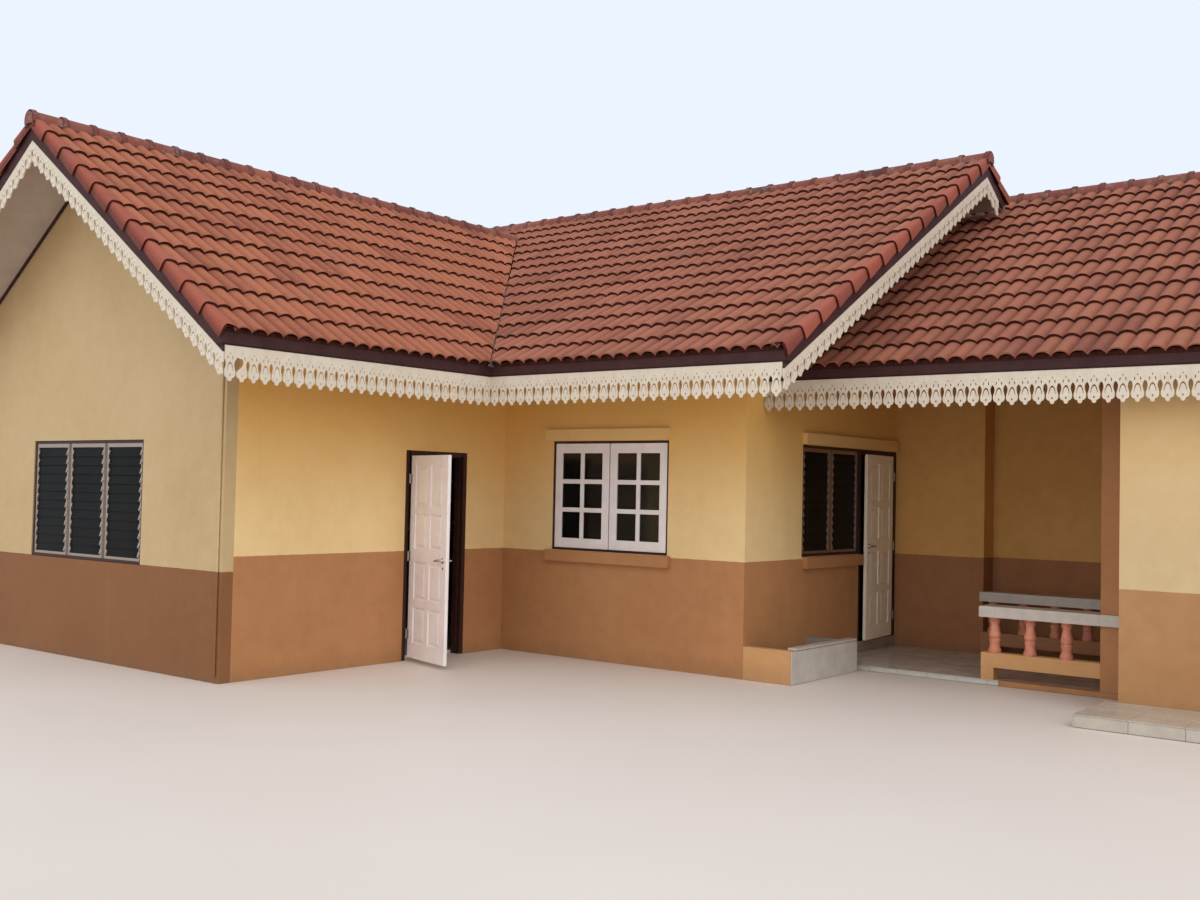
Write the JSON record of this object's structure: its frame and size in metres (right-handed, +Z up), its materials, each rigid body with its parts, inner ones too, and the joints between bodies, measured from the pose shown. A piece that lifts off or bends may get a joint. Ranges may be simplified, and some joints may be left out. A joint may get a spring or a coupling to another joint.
{
  "type": "bungalow",
  "caption": "Single-storey plastered bungalow with tiled gable roofs around a forecourt, hanging lace boards under the eaves, a recessed porch with balustrades and hinged doors.",
  "frame": {"origin": "ground level under the middle of the roof's outline seen from above", "axes": "+Z up, +X to the right along the front, +Y from the front towards the back"},
  "size_m": [16.03, 12.1, 5.4871],
  "materials": {
    "concrete": "matte",
    "step_tile": "satin",
    "plaster": "matte paint",
    "dado_plaster": "matte paint",
    "soffit_wood": "matte paint",
    "roof_tile": "matte",
    "dark_wood": "satin paint",
    "lace_paint": "satin paint",
    "white_wood": "satin paint",
    "window_glass": "clear",
    "terracotta": "matte",
    "terrazzo": "polished",
    "conduit": "matte",
    "handle_chrome": "polished"
  },
  "bodies": {
    "house": {"left_floor": "concrete", "main_floor": "concrete", "porch_floor": "concrete", "front_step": "step_tile", "gable_wall": "plaster", "side_door_wall": "plaster", "side_door_wall_head": "plaster", "window_wall": "plaster", "recess_wall": "plaster", "recess_wall_head": "plaster", "porch_back_wall": "plaster", "porch_side_wall": "plaster", "right_front_wall": "plaster", "right_gable_wall": "plaster", "back_wall": "plaster", "left_wall": "plaster", "middle_gable_wall": "plaster", "porch_pier_and_beam": "dado_plaster", "left_roof_deck": "soffit_wood", "middle_roof_deck": "soffit_wood", "right_roof_deck": "soffit_wood", "left_roof_tiles": "roof_tile", "middle_roof_tiles": "roof_tile", "right_roof_tiles": "roof_tile", "ridge_caps": "roof_tile", "eave_and_gable_boards": "dark_wood", "lace_trim": "lace_paint", "gable_window": "dark_wood", "recess_window": "dark_wood", "front_window_frame": "dark_wood", "front_window_leaves": "white_wood", "front_window_glass": "window_glass", "other_windows": "dark_wood", "lintels_and_sills": "plaster", "planter_box": "dado_plaster", "balustrade_bases": "dado_plaster", "balusters": "terracotta", "balustrade_caps": "terrazzo", "corner_conduit": "conduit", "side_door_frame": "dark_wood", "porch_door_frame": "dark_wood"},
    "side_door": {"side_door_leaf": "white_wood", "side_door_handle": "handle_chrome"},
    "porch_door": {"porch_door_leaf": "white_wood", "porch_door_handle": "handle_chrome"}
  },
  "joints": [
    {"name": "side_door_hinge", "type": "hinge", "parent": "house", "child": "side_door", "pos_m": [-2.792, -3.133, 0.038], "axis": [0, 0, 1], "range_deg": [-60, 106]},
    {"name": "porch_door_hinge", "type": "hinge", "parent": "house", "child": "porch_door", "pos_m": [0.258, 1.453, 0.174], "axis": [0, 0, 1], "range_deg": [-5, 75]}
  ]
}
